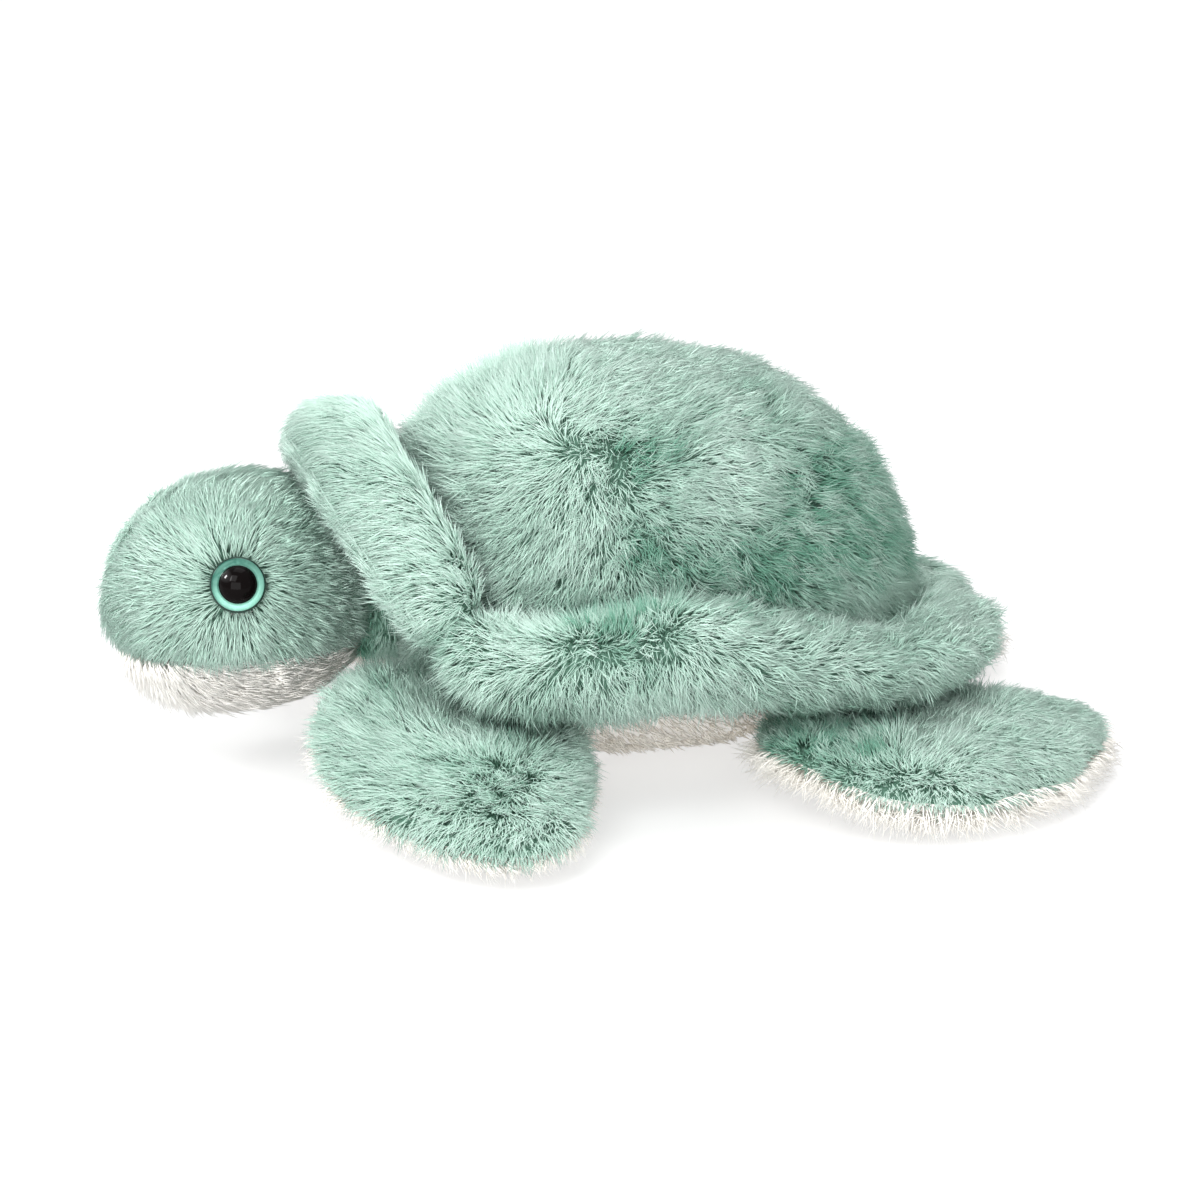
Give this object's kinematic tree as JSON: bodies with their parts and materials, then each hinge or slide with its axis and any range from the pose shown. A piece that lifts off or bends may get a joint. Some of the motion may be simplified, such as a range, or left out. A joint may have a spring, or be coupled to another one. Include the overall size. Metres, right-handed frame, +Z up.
{
  "type": "plush turtle",
  "caption": "Stuffed sea turtle in long-pile plush with a sewn shell, a stuffed rim that stands up as a collar, a turning head and liftable flippers.",
  "frame": {"origin": "on the table under the middle of the toy's outline", "axes": "head towards -X, the toy's left side towards -Y, +Z up"},
  "size_m": [0.2476, 0.2368, 0.1025],
  "materials": {
    "mint_plush": "long-pile mint green faux fur, matt, darker at the roots",
    "cream_plush": "short-pile cream white faux fur, matt",
    "fibre_stuffing": "loose white polyester fibre",
    "pellet_pouch": "plain woven bag of plastic pellets",
    "eye": "glossy domed eye with a black pupil and a green metallic ring",
    "washer": "plain moulded nylon"
  },
  "bodies": {
    "body": {"shell_top_panel": "mint_plush", "shell_front_panel": "mint_plush", "shell_left_panel": "mint_plush", "shell_right_panel": "mint_plush", "shell_rear_panel": "mint_plush", "belly_panel": "cream_plush", "pellet_pouch": "pellet_pouch", "body_stuffing": "fibre_stuffing", "collar_cover": "mint_plush", "collar_stuffing": "fibre_stuffing", "rim_left_cover": "mint_plush", "rim_left_stuffing": "fibre_stuffing", "rim_right_cover": "mint_plush", "rim_right_stuffing": "fibre_stuffing"},
    "neck": {"neck_cover": "mint_plush", "neck_stuffing": "fibre_stuffing"},
    "head": {"head_cover": "mint_plush", "chin_panel": "cream_plush", "head_stuffing": "fibre_stuffing", "eye_left": "eye", "eye_right": "eye", "eye_washer_left": "washer", "eye_washer_right": "washer"},
    "front_flipper_left": {"front_flipper_left_top": "mint_plush", "front_flipper_left_bottom": "cream_plush", "front_flipper_left_stuffing": "fibre_stuffing"},
    "front_flipper_right": {"front_flipper_right_top": "mint_plush", "front_flipper_right_bottom": "cream_plush", "front_flipper_right_stuffing": "fibre_stuffing"},
    "rear_flipper_left": {"rear_flipper_left_top": "mint_plush", "rear_flipper_left_bottom": "cream_plush", "rear_flipper_left_stuffing": "fibre_stuffing"},
    "rear_flipper_right": {"rear_flipper_right_top": "mint_plush", "rear_flipper_right_bottom": "cream_plush", "rear_flipper_right_stuffing": "fibre_stuffing"}
  },
  "joints": [
    {"name": "head_turn", "type": "hinge", "parent": "body", "child": "neck", "pos_m": [-0.0563, 0, 0.042], "axis": [0, 0, 1], "range_deg": [-15, 15], "stiffness_Nm_per_rad": 0.12},
    {"name": "head_nod", "type": "hinge", "parent": "neck", "child": "head", "pos_m": [-0.0563, 0, 0.042], "axis": [0, 1, 0], "range_deg": [-12, 4], "stiffness_Nm_per_rad": 0.12},
    {"name": "front_flipper_left_lift", "type": "hinge", "parent": "body", "child": "front_flipper_left", "pos_m": [-0.0353, -0.034, 0.0175], "axis": [-0.9397, 0.342, 0], "range_deg": [0, 8], "stiffness_Nm_per_rad": 0.03},
    {"name": "front_flipper_right_lift", "type": "hinge", "parent": "body", "child": "front_flipper_right", "pos_m": [-0.0353, 0.034, 0.0175], "axis": [0.9397, 0.342, 0], "range_deg": [0, 8], "stiffness_Nm_per_rad": 0.03},
    {"name": "rear_flipper_left_lift", "type": "hinge", "parent": "body", "child": "rear_flipper_left", "pos_m": [0.0567, -0.036, 0.013], "axis": [-0.866, -0.5, 0], "range_deg": [0, 7], "stiffness_Nm_per_rad": 0.03},
    {"name": "rear_flipper_right_lift", "type": "hinge", "parent": "body", "child": "rear_flipper_right", "pos_m": [0.0567, 0.036, 0.013], "axis": [0.866, -0.5, 0], "range_deg": [0, 7], "stiffness_Nm_per_rad": 0.03}
  ]
}
